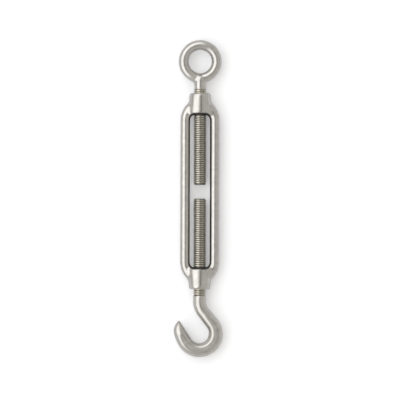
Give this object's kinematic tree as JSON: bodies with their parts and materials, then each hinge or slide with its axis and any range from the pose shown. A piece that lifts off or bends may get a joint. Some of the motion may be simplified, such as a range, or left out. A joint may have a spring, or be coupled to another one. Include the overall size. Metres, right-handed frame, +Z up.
{
  "type": "turnbuckle",
  "caption": "Steel turnbuckle: an open two-bar body with an eye bolt screwed into one end and a hook bolt into the other, to pull a line or wire tight.",
  "frame": {"origin": "on the screw axis, in the middle of the body's window, between the two rod tips", "axes": "+Y along the screw axis towards the eye; the hook is at -Y and opens towards -X; +Z up, square to the plane of the eye, the bars and the hook"},
  "size_m": [0.0227, 0.1456, 0.009],
  "materials": {
    "polished_steel": "cast stainless steel, tumbled to a soft polish",
    "satin_steel": "forged stainless steel, satin"
  },
  "bodies": {
    "body": {"body": "polished_steel"},
    "eye_bolt": {"eye_bolt": "polished_steel"},
    "hook_bolt": {"hook_bolt": "satin_steel"}
  },
  "joints": [
    {"name": "hook_slide", "type": "slide", "parent": "body", "child": "hook_bolt", "axis": [0, -1, 0], "range_m": [-0.0019, 0.0325]},
    {"name": "eye_slide", "type": "slide", "parent": "body", "child": "eye_bolt", "axis": [0, 1, 0], "range_m": [-0.0019, 0.0325]}
  ],
  "couplings": [
    {"joint": "eye_slide", "follows": "hook_slide", "ratio": 1}
  ]
}
